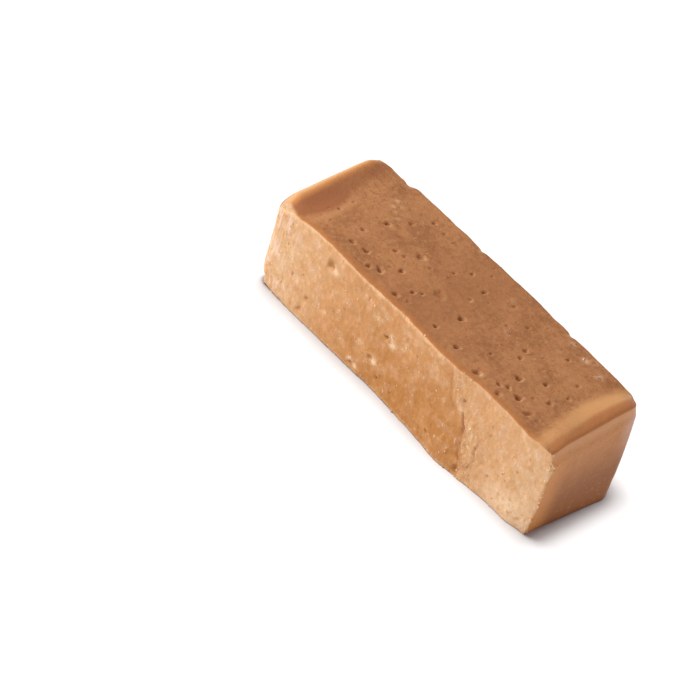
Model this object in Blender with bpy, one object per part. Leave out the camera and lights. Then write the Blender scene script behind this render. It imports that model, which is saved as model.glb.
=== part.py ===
# Caramel nougat block: one bar cut from a moulded slab, lying on its flat underside.
# X runs along the bar between its two moulded ends, Y goes across it from the front
# cut face to the back one, and Z is up. The origin is the centre of the underside.

import math
import random

import bmesh
import bpy
from mathutils import Matrix, Vector, noise

MM = 0.001

# Driving dimensions of the plain box that encloses the bar
LENGTH = 85.2 * MM
TOP_WIDTH = 28.6 * MM
FRONT_HEIGHT = 23.6 * MM
BACK_HEIGHT = 25.0 * MM

# How far each corner stands inside that box: (from the end, from the long side)
CORNER_INSET = {
    ("near", "front", "foot"): (0.55 * MM, 2.1 * MM),
    ("near", "back", "foot"): (-0.3 * MM, 0.1 * MM),
    ("near", "front", "top"): (0.5 * MM, 0.3 * MM),
    ("near", "back", "top"): (1.6 * MM, 0.5 * MM),
    ("far", "front", "foot"): (0.6 * MM, 1.0 * MM),
    ("far", "back", "foot"): (0.6 * MM, 0.6 * MM),
    ("far", "front", "top"): (0.0 * MM, -0.1 * MM),
    ("far", "back", "top"): (0.6 * MM, 0.9 * MM),
}

# Radii of the edges: knife-cut along the bar, soft where the slab met its mould
NEAR_TOP_RADIUS = 0.9 * MM
FAR_TOP_RADIUS = 2.2 * MM
NEAR_FOOT_RADIUS = 0.4 * MM
FAR_FOOT_RADIUS = 4.2 * MM
LONG_TOP_RADIUS = 0.4 * MM
LONG_FOOT_RADIUS = 0.5 * MM
NEAR_FRONT_RADIUS = 0.35 * MM
NEAR_BACK_RADIUS = 4.5 * MM
NEAR_BACK_FOOT_RADIUS = 4.8 * MM
FAR_FRONT_RADIUS = 2.5 * MM
FAR_BACK_RADIUS = 1.3 * MM

# Raised lips that the skin draws up at both ends. The crest is a distance from the end,
# and the shares say how much of the height is left at the front and back corners.
NEAR_LIP = {
    "height": 1.25 * MM,
    "crest": 3.3 * MM,
    "flank": 3.1 * MM,
    "flank_middle": 2.1 * MM,
    "outer_drop": 0.4 * MM,
    "front_share": 0.2,
    "back_share": -0.65,
}
FAR_LIP = {
    "height": 0.9 * MM,
    "crest": 1.6 * MM,
    "flank": 3.2 * MM,
    "flank_middle": 1.4 * MM,
    "outer_drop": 0.0 * MM,
    "front_share": -0.9,
    "back_share": -0.9,
}
LIP_TROUGH = 0.15 * MM
LIP_SIDE_FADE = 5.0 * MM

# The near end stands out below its lip, less towards the back
NEAR_BULGE = 1.15 * MM
NEAR_BULGE_BACK_LOSS = 0.5
NEAR_BULGE_LEVEL = 0.75
NEAR_SHOULDER = 3.0 * MM

# The front cut turns in at both ends, and the top sinks to the far front corner
NEAR_TUCK = 0.33 * MM
NEAR_TUCK_FOOT = 0.57 * MM
NEAR_TUCK_REACH = 7.0 * MM
FAR_TUCK = 0.8 * MM
FAR_TUCK_REACH = 7.0 * MM
FAR_DROOP = 1.7 * MM
FAR_DROOP_REACH = 8.0 * MM
FAR_DROOP_WIDTH = 21.0 * MM

# Gentle unevenness of the skin and of the cut faces
SKIN_WAVE = 0.28 * MM
SKIN_WAVE_LENGTH = 13.0 * MM
CUT_WAVE = 0.25 * MM
CUT_WAVE_LENGTH = 5.0 * MM
FOOT_SWELL = 1.0 * MM
FOOT_BULGE = 1.4 * MM
FOOT_BULGE_X = 17.5 * MM
FOOT_BULGE_HALF = 6.5 * MM
BACK_BELLY = 0.7 * MM
BACK_SWAY = 0.93 * MM
BACK_SWAY_RISE = (-33.5 * MM, -28.5 * MM)
BACK_SWAY_FALL = (-2.0 * MM, 24.0 * MM)
EDGE_SWAY = 0.5 * MM
EDGE_SWAY_LENGTH = 30.0 * MM
EDGE_SWAY_X = 8.0 * MM

# Broken crease in the front face: three lines of (along, up)
CREASE_LINES = (
    ((13.3 * MM, 22.0 * MM), (14.8 * MM, 16.5 * MM), (16.4 * MM, 13.6 * MM)),
    ((19.0 * MM, 14.6 * MM), (20.7 * MM, 12.0 * MM), (20.9 * MM, 8.9 * MM), (22.5 * MM, 1.2 * MM)),
    ((25.3 * MM, 10.8 * MM), (25.0 * MM, 7.3 * MM), (24.5 * MM, 3.2 * MM)),
)
CREASE_DEPTH = 0.35 * MM
CREASE_HALF = 0.8 * MM

# Low crumbly ridge beside the crease: its foot as (up, along), then how far it spreads
RIDGE_FOOT = (
    (1.5 * MM, 22.4 * MM),
    (8.9 * MM, 20.9 * MM),
    (12.0 * MM, 20.4 * MM),
    (14.2 * MM, 17.6 * MM),
    (16.5 * MM, 14.8 * MM),
    (21.8 * MM, 13.3 * MM),
)
RIDGE_LIFT = 0.2 * MM
RIDGE_FLAT = 2.5 * MM
RIDGE_FADE = 5.0 * MM

# Chip out of the back top edge
NOTCH_X = -31.5 * MM
NOTCH_HALF = 1.2 * MM
NOTCH_DEPTH = 0.7 * MM

# Larger pits in the skin: (along, across, width); the small ones follow a rule
SKIN_PITS = (
    (-25.0 * MM, 0.5 * MM, 1.3 * MM),
    (-15.5 * MM, -10.1 * MM, 1.5 * MM),
    (-14.0 * MM, 0.0 * MM, 1.6 * MM),
    (-12.9 * MM, -6.3 * MM, 1.2 * MM),
    (-3.9 * MM, -3.8 * MM, 2.0 * MM),
    (2.6 * MM, -10.5 * MM, 1.2 * MM),
    (3.7 * MM, -4.3 * MM, 1.6 * MM),
    (9.3 * MM, -10.5 * MM, 1.2 * MM),
    (16.8 * MM, -12.1 * MM, 1.8 * MM),
    (17.1 * MM, 1.5 * MM, 1.2 * MM),
    (22.3 * MM, -5.4 * MM, 1.5 * MM),
    (22.4 * MM, -9.8 * MM, 1.6 * MM),
    (26.4 * MM, -9.3 * MM, 1.6 * MM),
    (26.4 * MM, -1.4 * MM, 1.2 * MM),
    (30.6 * MM, -10.8 * MM, 1.6 * MM),
    (30.7 * MM, -4.3 * MM, 1.2 * MM),
)
PIT_ROWS = (-9.0 * MM, 3.5 * MM, 9.0 * MM)
PIT_ROW_STEP = 9.5 * MM
PIT_ROW_JITTER = 1.6 * MM
PIT_ROW_WIDTH = (0.9 * MM, 1.2 * MM)
PIT_CLEARANCE = 2.0 * MM
PIT_DEPTH_RATIO = 0.42

# Pits in the cut faces: (along, up, width), on the front face and then on the back one
FRONT_PITS = (
    (-24.4 * MM, 19.1 * MM, 1.7 * MM),
    (-5.2 * MM, 14.6 * MM, 1.5 * MM),
    (-7.9 * MM, 6.2 * MM, 1.4 * MM),
    (33.0 * MM, 12.0 * MM, 1.2 * MM),
)
BACK_PITS = (
    (-12.0 * MM, 16.0 * MM, 1.6 * MM),
    (6.0 * MM, 7.5 * MM, 1.4 * MM),
    (24.0 * MM, 14.0 * MM, 1.7 * MM),
)

# Grid that carries the form: distances from a face where the edges need closer lines
EDGE_STEPS_X = (0.5 * MM, 1.1 * MM, 2.1 * MM, 3.4 * MM, 4.8 * MM, 6.4 * MM)
EDGE_STEPS_Y = (0.25 * MM, 1.0 * MM, 2.4 * MM, 4.2 * MM)
EDGE_STEPS_Z = (0.3 * MM, 1.1 * MM, 2.4 * MM)
CELL = 2.7 * MM
CREASE_CELL = 1.4 * MM
CREASE_ZONE = (11.0 * MM, 26.5 * MM)
NOTCH_CELL = 0.9 * MM
NOTCH_ZONE = (-33.6 * MM, -28.4 * MM)

# Finish of the nougat
NOUGAT_COLOUR = (0.545, 0.262, 0.118, 1.0)
NOUGAT_ROUGHNESS = 0.5
NOUGAT_METALLIC = 0.0


def clear_scene():
    for item in list(bpy.data.objects):
        bpy.data.objects.remove(item, do_unlink=True)


def nougat_material():
    material = bpy.data.materials.new("nougat")
    material.use_nodes = True
    shader = material.node_tree.nodes["Principled BSDF"]
    shader.inputs["Base Color"].default_value = NOUGAT_COLOUR
    shader.inputs["Roughness"].default_value = NOUGAT_ROUGHNESS
    shader.inputs["Metallic"].default_value = NOUGAT_METALLIC
    return material


def smooth(value):
    """Eased step from 0 to 1."""
    value = min(max(value, 0.0), 1.0)
    return value * value * (3.0 - 2.0 * value)


def evenly(start, stop, cell):
    """Values from start to stop, about one cell apart, without the two ends."""
    count = max(1, round((stop - start) / cell))
    return [start + (stop - start) * index / count for index in range(1, count)]


def grid_lines(low, high, steps, zones=()):
    """Where the block's grid is cut along one axis; each zone is (start, stop, cell)."""
    lines = [low + step for step in steps]
    place = lines[-1]
    for start, stop, cell in zones:
        lines += evenly(place, start, CELL) + [start]
        lines += evenly(start, stop, cell) + [stop]
        place = stop
    lines += evenly(place, high - steps[-1], CELL)
    lines += [high - step for step in steps]
    return lines


def gridded_box():
    """Closed box whose six faces are cut into cells that the relief can move."""
    mesh = bmesh.new()
    bmesh.ops.create_cube(mesh, size=1.0)
    middle = Vector((0.0, 0.0, BACK_HEIGHT / 2))
    for vertex in mesh.verts:
        corner = vertex.co
        vertex.co = middle + Vector((corner.x * LENGTH, corner.y * TOP_WIDTH, corner.z * BACK_HEIGHT))
    zones = ((*NOTCH_ZONE, NOTCH_CELL), (*CREASE_ZONE, CREASE_CELL))
    cuts = (
        (Vector((1, 0, 0)), grid_lines(-LENGTH / 2, LENGTH / 2, EDGE_STEPS_X, zones)),
        (Vector((0, 1, 0)), grid_lines(-TOP_WIDTH / 2, TOP_WIDTH / 2, EDGE_STEPS_Y)),
        (Vector((0, 0, 1)), grid_lines(0.0, BACK_HEIGHT, EDGE_STEPS_Z)),
    )
    for axis, places in cuts:
        for place in places:
            everything = mesh.verts[:] + mesh.edges[:] + mesh.faces[:]
            bmesh.ops.bisect_plane(mesh, geom=everything, plane_co=axis * place, plane_no=axis)
    return mesh


def round_edge(first, second, radius):
    """Move a point, given by its depths under two faces, onto the round of their edge."""
    if first >= radius or second >= radius:
        return first, second
    reach = (radius - first, radius - second)
    scale = max(reach) / math.hypot(*reach)
    return radius - reach[0] * scale, radius - reach[1] * scale


def rounded(point):
    """The box point with its twelve edges rounded."""
    depth = {
        "near": LENGTH / 2 - point.x,
        "far": LENGTH / 2 + point.x,
        "back": TOP_WIDTH / 2 - point.y,
        "front": TOP_WIDTH / 2 + point.y,
        "top": BACK_HEIGHT - point.z,
        "foot": point.z,
    }
    lower = (1.0 - point.z / BACK_HEIGHT) ** 2
    near_back = NEAR_BACK_RADIUS + (NEAR_BACK_FOOT_RADIUS - NEAR_BACK_RADIUS) * lower
    edges = (
        ("near", "front", NEAR_FRONT_RADIUS),
        ("near", "back", near_back),
        ("far", "front", FAR_FRONT_RADIUS),
        ("far", "back", FAR_BACK_RADIUS),
        ("near", "top", NEAR_TOP_RADIUS),
        ("far", "top", FAR_TOP_RADIUS),
        ("near", "foot", NEAR_FOOT_RADIUS),
        ("far", "foot", FAR_FOOT_RADIUS),
        ("front", "top", LONG_TOP_RADIUS),
        ("back", "top", LONG_TOP_RADIUS),
        ("front", "foot", LONG_FOOT_RADIUS),
        ("back", "foot", LONG_FOOT_RADIUS),
    )
    for first, second, radius in edges:
        depth[first], depth[second] = round_edge(depth[first], depth[second], radius)
    # The nearer face of each pair decides, so that a far depth that was not moved is not used
    x = LENGTH / 2 - depth["near"] if point.x > 0 else depth["far"] - LENGTH / 2
    y = TOP_WIDTH / 2 - depth["back"] if point.y > 0 else depth["front"] - TOP_WIDTH / 2
    z = BACK_HEIGHT - depth["top"] if point.z > BACK_HEIGHT / 2 else depth["foot"]
    return Vector((x, y, z))


def lip(shape, gap, across):
    """Height of a lip at a distance from its end; it sinks towards the bar's corners."""
    flank = shape["flank"] + shape["flank_middle"] * (1.0 - (2.0 * across / TOP_WIDTH) ** 2)
    fall = (gap - shape["crest"]) / flank
    trough = LIP_TROUGH * math.exp(-(((fall - 1.2) / 0.4) ** 2))
    outer = shape["outer_drop"] * smooth((shape["crest"] - gap) / shape["crest"])
    from_front = smooth((TOP_WIDTH / 2 + across) / LIP_SIDE_FADE)
    from_back = smooth((TOP_WIDTH / 2 - across) / LIP_SIDE_FADE)
    share = shape["front_share"] + (1.0 - shape["front_share"]) * from_front
    share *= shape["back_share"] + (1.0 - shape["back_share"]) * from_back
    return shape["height"] * share * (1.0 - smooth(fall)) - outer - trough


def skin_relief(x, y):
    """Height of the top skin over its plane: lips at the ends and slow waves."""
    wave = noise.noise(Vector((x, y, 0.0)) / SKIN_WAVE_LENGTH)
    near = lip(NEAR_LIP, LENGTH / 2 - x, y)
    far = lip(FAR_LIP, LENGTH / 2 + x, y)
    droop = FAR_DROOP * math.exp(-(((x + LENGTH / 2) / FAR_DROOP_REACH) ** 2))
    droop *= 1.0 - min(max((y + TOP_WIDTH / 2) / FAR_DROOP_WIDTH, 0.0), 1.0)
    return near + far - droop + SKIN_WAVE * wave


def distance_to_line(x, z, corners):
    """Distance from a point of the front face to a line through the given corners."""
    spot = Vector((x, z))
    nearest = math.inf
    for start, stop in zip(corners, corners[1:]):
        start, stop = Vector(start), Vector(stop)
        run = stop - start
        share = min(max((spot - start).dot(run) / run.length_squared, 0.0), 1.0)
        nearest = min(nearest, (spot - start - run * share).length)
    return nearest


def ridge(x, z):
    """How far the crumbly ridge stands out beside the crease."""
    foot = RIDGE_FOOT[-1][1] if z >= RIDGE_FOOT[-1][0] else RIDGE_FOOT[0][1]
    for (low, start), (high, stop) in zip(RIDGE_FOOT, RIDGE_FOOT[1:]):
        if low <= z < high:
            foot = start + (stop - start) * (z - low) / (high - low)
    past = x - foot
    return RIDGE_LIFT * smooth(past / (0.6 * MM)) * (1.0 - smooth((past - RIDGE_FLAT) / RIDGE_FADE))


def height_share(z):
    return min(max(z / BACK_HEIGHT, 0.0), 1.0)


def front_relief(x, z):
    """How far the front face stands out from its plane."""
    up = height_share(z)
    low = (1.0 - up) ** 1.5
    high = up ** 2
    swell = 0.35 * FOOT_SWELL + 0.75 * FOOT_SWELL * smooth((x + 5.0 * MM) / (15.0 * MM))
    bulge = FOOT_BULGE * math.exp(-(((x - FOOT_BULGE_X) / FOOT_BULGE_HALF) ** 2))
    sway = EDGE_SWAY * smooth((x + 10.0 * MM) / (12.0 * MM))
    sway *= math.cos(2.0 * math.pi * (x - EDGE_SWAY_X) / EDGE_SWAY_LENGTH)
    crease = sum(math.exp(-((distance_to_line(x, z, line) / CREASE_HALF) ** 2)) for line in CREASE_LINES)
    near_tuck = NEAR_TUCK + NEAR_TUCK_FOOT * (1.0 - up) ** 2
    near_tuck *= (1.0 - smooth((up - 0.93) / 0.07)) * smooth(1.0 - (LENGTH / 2 - x) / NEAR_TUCK_REACH)
    far_tuck = FAR_TUCK * math.exp(-(((x + LENGTH / 2) / FAR_TUCK_REACH) ** 2)) * (1.0 - up) ** 6
    rough = CUT_WAVE * noise.noise(Vector((x, z, 40.0 * MM)) / CUT_WAVE_LENGTH)
    out = low * (swell + bulge) + high * sway + ridge(x, z) + rough
    return out - near_tuck - far_tuck - CREASE_DEPTH * min(crease, 1.0)


def back_relief(x, z):
    """How far the back face stands out from its plane, with the chip in its top edge."""
    up = height_share(z)
    belly = BACK_BELLY * math.sin(math.pi * up)
    rise = smooth((x - BACK_SWAY_RISE[0]) / (BACK_SWAY_RISE[1] - BACK_SWAY_RISE[0]))
    fall = smooth((x - BACK_SWAY_FALL[0]) / (BACK_SWAY_FALL[1] - BACK_SWAY_FALL[0]))
    sway = BACK_SWAY * rise * (1.0 - fall) * up ** 2
    chip = NOTCH_DEPTH * math.exp(-(((x - NOTCH_X) / NOTCH_HALF) ** 2))
    chip *= smooth((up - 0.8) / 0.17)
    rough = CUT_WAVE * noise.noise(Vector((x, z, 80.0 * MM)) / CUT_WAVE_LENGTH)
    return belly + sway - chip + rough


def top_height(y):
    """Height of the top plane, which rises from the front to the back."""
    return FRONT_HEIGHT + (BACK_HEIGHT - FRONT_HEIGHT) * (0.5 + y / TOP_WIDTH)


def near_relief(y, z):
    """How far the near end stands out from its plane."""
    out = NEAR_BULGE * math.sin(0.5 * math.pi * min(height_share(z) / NEAR_BULGE_LEVEL, 1.0))
    out *= smooth((top_height(y) - z) / NEAR_SHOULDER)
    return out * (1.0 - NEAR_BULGE_BACK_LOSS * (0.5 + y / TOP_WIDTH))


def corner(end, side, level):
    """Place of one of the eight corners of the bar."""
    from_end, from_side = CORNER_INSET[end, side, level]
    x = LENGTH / 2 - from_end
    y = TOP_WIDTH / 2 - from_side
    top = FRONT_HEIGHT if side == "front" else BACK_HEIGHT
    return Vector((x if end == "near" else -x, y if side == "back" else -y, top if level == "top" else 0.0))


def into_bar(point):
    """Carry a point of the plain box into the tapered bar between its eight corners."""
    shares = (
        (("far", 0.5 - point.x / LENGTH), ("near", 0.5 + point.x / LENGTH)),
        (("front", 0.5 - point.y / TOP_WIDTH), ("back", 0.5 + point.y / TOP_WIDTH)),
        (("foot", 1.0 - point.z / BACK_HEIGHT), ("top", point.z / BACK_HEIGHT)),
    )
    place = Vector((0.0, 0.0, 0.0))
    for end, along in shares[0]:
        for side, across in shares[1]:
            for level, up in shares[2]:
                place += along * across * up * corner(end, side, level)
    return place


def shaped(point):
    """Final place of a point of the gridded box; the relief of a face fades below it."""
    point = rounded(point)
    near_end = (0.5 + point.x / LENGTH) ** 12
    near_front = (0.5 - point.y / TOP_WIDTH) ** 4
    near_back = (0.5 + point.y / TOP_WIDTH) ** 4
    near_top = (point.z / BACK_HEIGHT) ** 5
    place = into_bar(point)
    x, y, z = place
    place.x += near_end * near_relief(y, z)
    place.y += near_back * back_relief(x, z) - near_front * front_relief(x, z)
    place.z = max(z + near_top * skin_relief(x, y), 0.0)
    return place


def side_plane(side, x, z):
    """Distance from the middle of the bar to the plane of a long side, between its corners."""
    along = 0.5 + x / LENGTH
    up = z / (FRONT_HEIGHT if side == "front" else BACK_HEIGHT)
    low = CORNER_INSET["far", side, "foot"][1] * (1.0 - along) + CORNER_INSET["near", side, "foot"][1] * along
    high = CORNER_INSET["far", side, "top"][1] * (1.0 - along) + CORNER_INSET["near", side, "top"][1] * along
    return TOP_WIDTH / 2 - low * (1.0 - up) - high * up


def on_skin(x, y):
    return Vector((x, y, top_height(y) + skin_relief(x, y)))


def on_front(x, z):
    return Vector((x, -side_plane("front", x, z) - front_relief(x, z), z))


def on_back(x, z):
    return Vector((x, side_plane("back", x, z) + back_relief(x, z), z))


def row_pits():
    """Smaller pits of the skin, in loose rows along the bar, clear of the larger ones."""
    draw = random.Random(7)
    pits = []
    for row, across in enumerate(PIT_ROWS):
        place = -LENGTH / 2 + (9.0 + 3.0 * row) * MM
        while place < LENGTH / 2 - 8.0 * MM:
            x = place + draw.uniform(-PIT_ROW_JITTER, PIT_ROW_JITTER)
            y = across + draw.uniform(-PIT_ROW_JITTER, PIT_ROW_JITTER)
            width = draw.uniform(*PIT_ROW_WIDTH)
            place += PIT_ROW_STEP
            if all(math.hypot(x - pit[0], y - pit[1]) > PIT_CLEARANCE for pit in SKIN_PITS):
                pits.append((x, y, width))
    return pits


def pit_cutter(name, place, width, depth_axis, collection):
    """Flattened ball centred on the surface; it sinks along depth_axis (0 x, 1 y, 2 z)."""
    ball = bmesh.new()
    radii = [width / 2] * 3
    radii[depth_axis] = width * PIT_DEPTH_RATIO
    size = Matrix.Diagonal((*radii, 1.0))
    turn = Matrix.Rotation(place.x * 900.0, 4, "XYZ"[depth_axis])
    bmesh.ops.create_icosphere(ball, subdivisions=1, radius=1.0, matrix=size @ turn)
    mesh = bpy.data.meshes.new(name)
    ball.to_mesh(mesh)
    ball.free()
    cutter = bpy.data.objects.new(name, mesh)
    cutter.location = place
    cutter.hide_render = True
    cutter.display_type = "WIRE"
    collection.objects.link(cutter)


def pit_cutters():
    """Collection of the balls that leave the pits."""
    collection = bpy.data.collections.new("pit_cutters")
    bpy.context.scene.collection.children.link(collection)
    for number, (x, y, width) in enumerate([*SKIN_PITS, *row_pits()]):
        pit_cutter(f"skin_pit_{number}", on_skin(x, y), width, 2, collection)
    for number, (x, z, width) in enumerate(FRONT_PITS):
        pit_cutter(f"front_pit_{number}", on_front(x, z), width, 1, collection)
    for number, (x, z, width) in enumerate(BACK_PITS):
        pit_cutter(f"back_pit_{number}", on_back(x, z), width, 1, collection)
    return collection


def nougat_block():
    """The whole bar, one solid."""
    form = gridded_box()
    for vertex in form.verts:
        vertex.co = shaped(vertex.co)
    bmesh.ops.recalc_face_normals(form, faces=form.faces[:])
    mesh = bpy.data.meshes.new("nougat_block")
    form.to_mesh(mesh)
    form.free()
    mesh.shade_smooth()
    mesh.set_sharp_from_angle(angle=math.radians(50.0))
    mesh.materials.append(nougat_material())
    block = bpy.data.objects.new("nougat_block", mesh)
    bpy.context.scene.collection.objects.link(block)

    pits = block.modifiers.new("pits", "BOOLEAN")
    pits.operation = "DIFFERENCE"
    pits.operand_type = "COLLECTION"
    pits.collection = pit_cutters()
    pits.solver = "EXACT"
    return block


clear_scene()
nougat_block()
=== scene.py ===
import itertools

import bmesh
import bpy
import numpy as np
from mathutils import Matrix, Vector


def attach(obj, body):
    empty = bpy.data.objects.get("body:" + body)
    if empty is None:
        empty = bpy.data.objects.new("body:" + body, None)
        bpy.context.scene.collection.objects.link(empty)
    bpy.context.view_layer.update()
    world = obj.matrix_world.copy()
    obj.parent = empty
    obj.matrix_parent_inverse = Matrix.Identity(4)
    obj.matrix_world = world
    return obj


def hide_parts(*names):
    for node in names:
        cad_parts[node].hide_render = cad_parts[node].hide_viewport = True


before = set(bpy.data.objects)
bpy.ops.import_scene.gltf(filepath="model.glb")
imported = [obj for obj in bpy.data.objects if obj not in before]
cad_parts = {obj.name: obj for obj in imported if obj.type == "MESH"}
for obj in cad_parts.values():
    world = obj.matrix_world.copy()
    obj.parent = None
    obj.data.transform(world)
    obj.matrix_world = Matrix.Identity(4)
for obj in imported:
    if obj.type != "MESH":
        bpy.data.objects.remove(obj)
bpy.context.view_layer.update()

mm = 0.001

# Sizes below are in millimetres in the frame's own axes: X from the far end to the near one,
# Y from the creased front cut to the back cut, Z up from the underside.

# The bar before its relief: a box, how far each corner stands inside it, and its edge radii
bar = {
    "length": 85.2,
    "width": 28.6,
    "frontHeight": 23.6,
    "backHeight": 25.0,
    "cells": (252, 84, 74),  # of the mesh, along each axis
    "cornerInset": {  # (near end, back side, top): (from the end, from the long side)
        (1, 0, 0): (0.55, 2.1),
        (1, 1, 0): (-0.3, 0.1),
        (1, 0, 1): (0.5, 0.3),
        (1, 1, 1): (1.6, 0.5),
        (0, 0, 0): (0.6, 1.0),
        (0, 1, 0): (0.6, 0.6),
        (0, 0, 1): (0.0, -0.1),
        (0, 1, 1): (0.6, 0.9),
    },
    "radius": {  # of the edge between two faces
        ("near", "front"): 0.35,
        ("near", "back"): 4.5,
        ("far", "front"): 2.5,
        ("far", "back"): 1.3,
        ("near", "top"): 0.9,
        ("far", "top"): 2.2,
        ("near", "foot"): 0.2,
        ("far", "foot"): 4.2,
        ("front", "top"): 0.4,
        ("back", "top"): 0.4,
        ("front", "foot"): 0.2,
        ("back", "foot"): 0.5,
    },
    "nearBulge": 1.15,  # the near end stands out below its lip
    "nearBulgeBack": 0.5,
    "nearBulgeFull": 0.75,  # fullest at this share of the height
    "nearShoulder": 3.0,  # and dying away from this far under the top
    "nearTuck": (0.33, 0.57),  # the front cut turns in at the near end: all the way up, more at the foot
    "nearTuckReach": 7.0,
    "nearTuckTop": (0.93, 0.07),
    "nearBackFootRadius": 4.8,
    "farTuck": 0.8,  # and at the far foot
    "farTuckReach": 7.0,
    "farTuckPower": 6,
    "farDroop": 1.7,  # the top sinks to the far front corner
    "farDroopReach": 8.0,
    "farDroopWidth": 21.0,
    "backSway": 0.93,  # the back top edge stands out from the chip to the middle
    "backSwayX": ((-33.5, 5.0), (-2.0, 26.0)),
    "reliefPower": {"top": 5, "front": 4, "back": 4, "near": 12},  # how soon each face's relief dies away
}

# Raised lips at the two ends and the slow waves of the top skin. The crest is a distance
# from the end; the shares say how much of the height is left at the front and back corners.
skin = {
    "nearLip": {
        "height": 1.25,
        "crest": 3.3,
        "flank": 3.1,
        "flankMiddle": 2.1,
        "outerDrop": 0.4,
        "frontShare": 0.2,
        "backShare": -0.65,
    },
    "farLip": {
        "height": 0.9,
        "crest": 1.6,
        "flank": 4.3,
        "flankMiddle": 1.0,
        "outerDrop": 0.0,
        "frontShare": -0.9,
        "backShare": -0.9,
    },
    "lipTrough": (0.15, 1.2, 0.4),  # depth, and its place and half width in lengths of the flank
    "bandAcross": (-14.0, -7.0, -3.0, 1.0, 6.0),  # at these places across the top,
    "shadeEnd": (5.8, 8.2, 7.4, 5.8, 4.8),  # the painted shade band by the far lip ends so far from the end
    "ridgeAt": (9.3, 9.9, 9.3, 8.3, 8.0),  # and a ridge with a painted highlight follows it here
    "lipSideFade": 5.0,
    "cutWrap": (-35.0, 0.42),  # the cut wraps onto the top from here to the far corner, this steeply
    "waves": ((13.0, 0.28), (5.0, 0.07), (1.6, 0.025)),  # (length, height)
}

# Pits in the skin: (along, across, width, how many widths long, turn in degrees, depth share)
pits = {
    "depth": 0.5,
    "rim": 0.06,
    # shape of each: (where, half) or (start, length), from 0 in the middle to 1 on the outline
    "hole": (0.3, 0.8),
    # painted shade on each pit's floor
    "floor": (0.45, 0.5),
    "rimRing": (1.3, 0.3),
    # painted highlight on each pit's far rim
    "litRing": (1.1, 0.28),
    "wobble": (0.14, 0.08),
    "reach": 1.6,
    "seed": 11,
    "noted": (
        (-33.2, -5.3, 0.9, 1.0, 0, 0.7), (-25.7, -5.3, 1.0, 1.2, 0, 0.8), (-24.7, 0.7, 1.3, 1.2, 20, 1.0),
        (-24.2, -9.8, 1.0, 1.6, 10, 0.9), (-22.2, 5.2, 1.2, 1.0, 0, 0.6), (-20.7, -8.8, 1.2, 1.5, 10, 1.0),
        (-20.2, 9.7, 1.0, 1.0, 0, 0.8), (-17.7, -3.3, 1.0, 1.3, 60, 0.8), (-17.2, -11.3, 1.2, 1.0, 0, 0.9),
        (-16.6, 9.4, 1.0, 1.0, 0, 0.5), (-15.5, -2.7, 1.0, 1.2, 0, 0.7), (-15.2, -9.9, 1.2, 2.0, -25, 1.0),
        (-14.8, -7.4, 0.9, 1.0, 0, 0.6), (-13.7, 0.2, 1.7, 1.3, 10, 0.6), (-12.6, -6.1, 1.3, 1.0, 0, 0.9),
        (-8.2, -11.8, 1.3, 1.2, 0, 1.0), (-6.8, -8.2, 1.0, 1.2, 60, 1.0), (-6.7, 3.4, 0.9, 1.0, 0, 0.7),
        (-5.5, -6.7, 0.9, 1.0, 0, 0.9), (-5.3, -11.0, 1.0, 1.0, 0, 0.4), (-4.7, 6.7, 1.0, 1.0, 0, 0.8),
        (-3.6, -3.6, 2.3, 1.3, 0, 0.3), (0.6, 5.3, 1.0, 1.4, 70, 0.9), (0.8, 1.2, 0.9, 1.0, 0, 0.6),
        (2.9, -10.3, 1.0, 1.2, 20, 1.2), (4.0, -4.1, 1.6, 1.0, 0, 0.8), (9.6, -10.3, 1.2, 1.3, 30, 1.0),
        (17.1, -11.9, 1.5, 1.3, 0, 0.9), (17.4, 1.7, 1.2, 1.0, 0, 0.9), (18.4, -0.6, 1.2, 1.0, 0, 0.7),
        (22.6, -5.2, 1.6, 1.2, 0, 0.9), (21.9, -10.4, 0.9, 2.0, -10, 1.0), (23.4, -9.1, 1.0, 1.6, -35, 1.0),
        (23.7, -12.3, 1.3, 1.2, 0, 0.8), (23.9, 8.0, 1.0, 1.0, 0, 0.7), (26.7, -1.2, 1.2, 1.0, 0, 0.9),
        (26.7, -9.1, 1.7, 1.1, 0, 1.0), (30.3, 4.7, 0.9, 1.0, 0, 0.7), (30.9, -10.6, 1.3, 1.9, 50, 0.7),
        (31.0, -4.1, 1.3, 1.0, 0, 0.7), (31.9, 0.4, 1.0, 1.0, 0, 0.6), (10.1, 3.2, 0.8, 1.0, 0, 0.6),
        (6.8, 8.2, 0.9, 1.3, 30, 0.6), (12.9, 6.6, 0.8, 1.0, 0, 0.6), (-10.2, -0.3, 0.8, 1.0, 0, 0.6),
        (-2.2, 10.0, 0.8, 1.0, 0, 0.5), (28.3, -6.4, 0.8, 1.0, 0, 0.6), (14.5, -5.4, 0.8, 1.0, 0, 0.7),
    ),
    "smallCount": 70,
    "smallMargin": (6.0, 1.5),  # clear of the ends and of the long edges
    "smallApart": 1.6,  # and of the noted pits
    "smallWidth": (0.35, 0.6),
    "smallLonger": (1.0, 1.5),
    "smallDepth": (0.4, 0.9),
    "gatherReach": 2.6,  # mesh points within so many widths are drawn together,
    "gatherLeast": 0.8,  # where there is room for this many,
    "gatherMargin": 0.35,  # and none come nearer to the edge
}
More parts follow.
